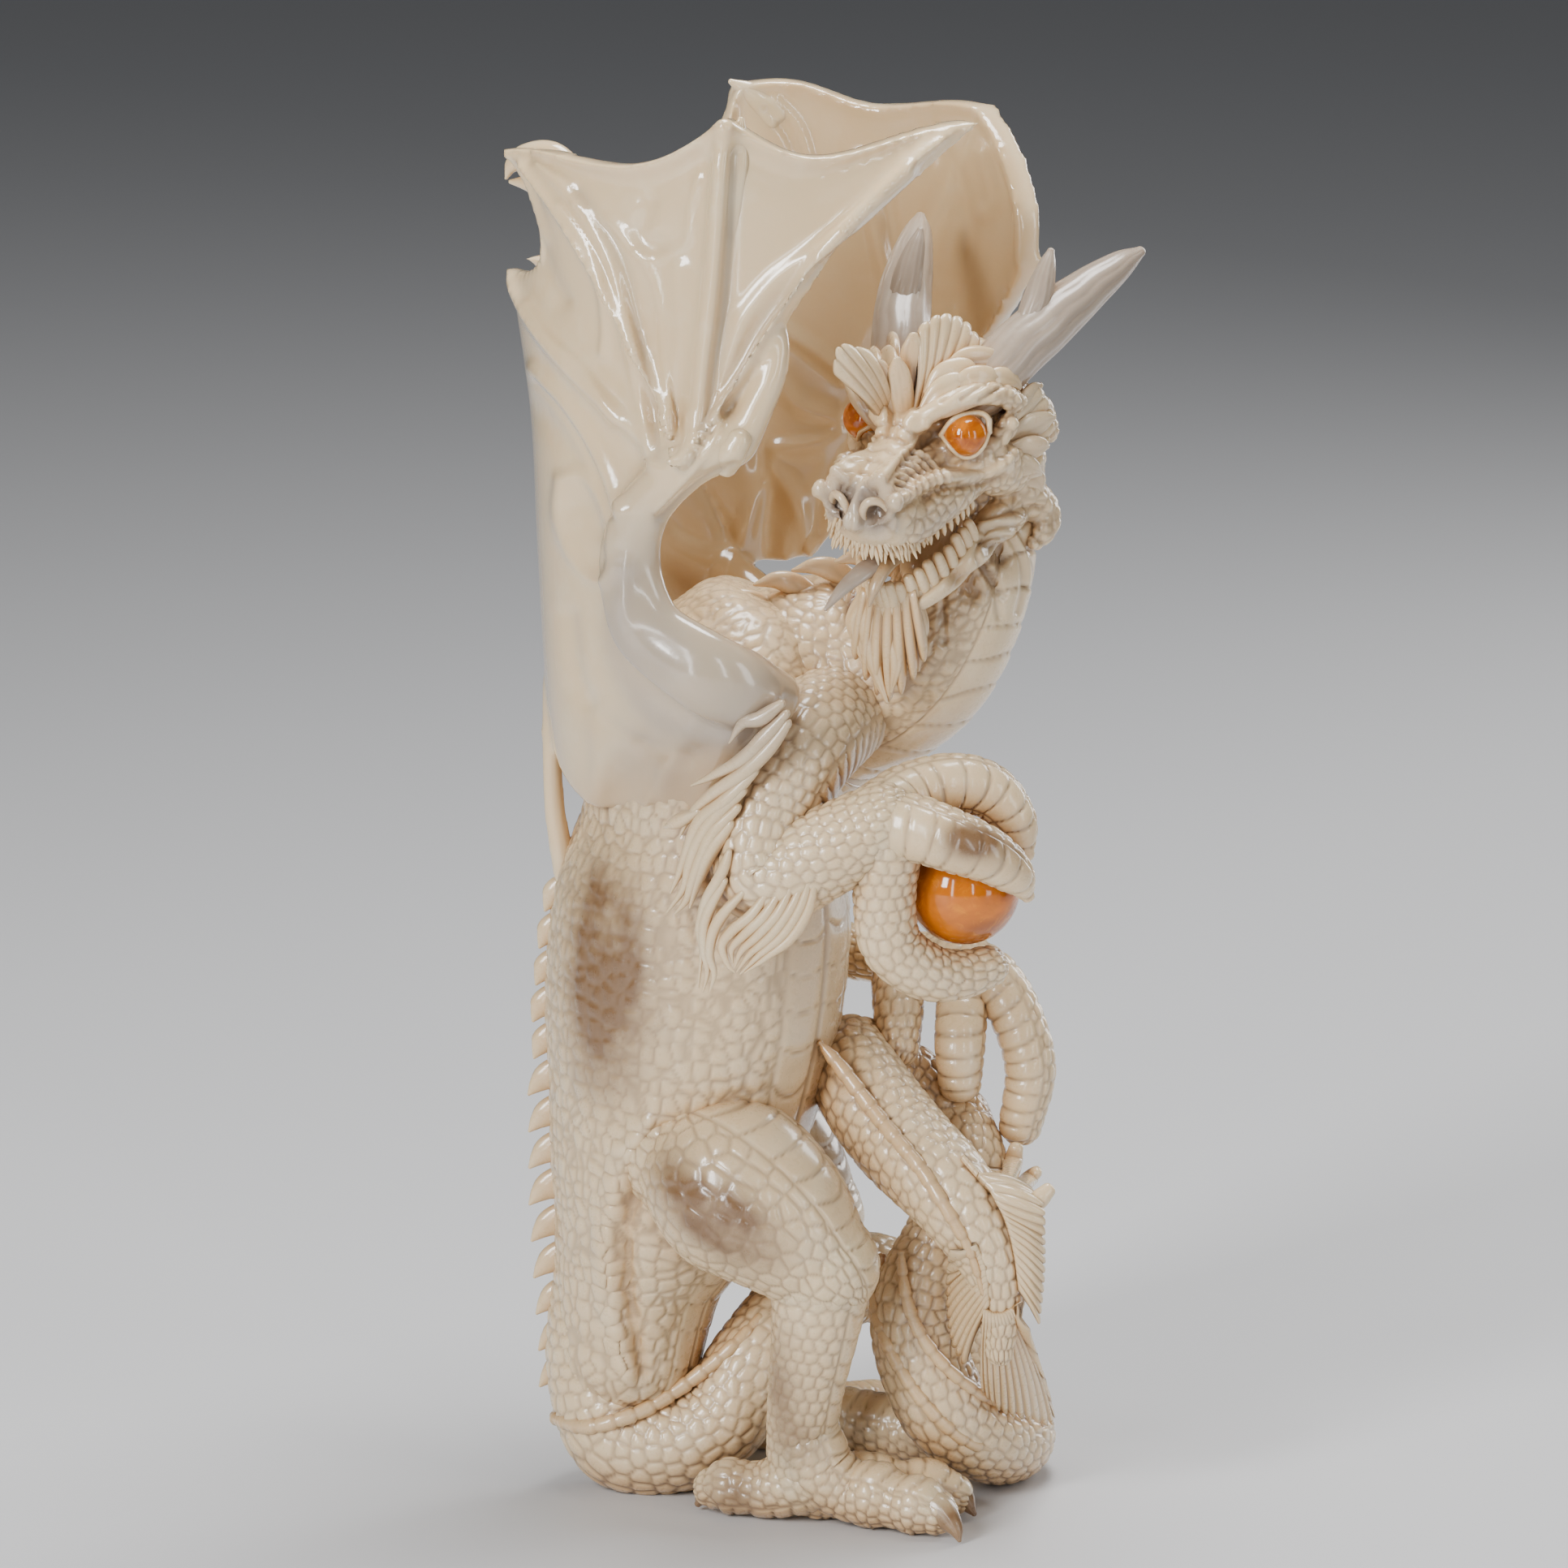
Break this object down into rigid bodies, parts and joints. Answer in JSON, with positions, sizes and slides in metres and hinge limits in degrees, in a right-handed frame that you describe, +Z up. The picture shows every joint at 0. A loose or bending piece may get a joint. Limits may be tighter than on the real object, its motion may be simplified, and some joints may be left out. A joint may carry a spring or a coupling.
{
  "type": "dragon statue",
  "caption": "Carved tusk figure of a standing dragon whose folded wings form an open vase, with set-in horns, amber eyes and an amber ball in one hand.",
  "frame": {"origin": "middle of the box's underside, on the surface that the statue stands on", "axes": "+Z up, the longest extent; the dragon's belly and arms face +X, its back -X, and the face turns to -Y"},
  "size_m": [0.132, 0.1148, 0.3005],
  "materials": {
    "ivory": "polished cream carved ivory with tan recesses",
    "horn": "polished grey-cream ivory",
    "amber": "polished cloudy orange amber"
  },
  "bodies": {
    "root": {"dragon": "ivory", "horn_left": "horn", "horn_right": "horn", "eye_left": "amber", "eye_right": "amber", "ball": "amber"}
  },
  "joints": []
}
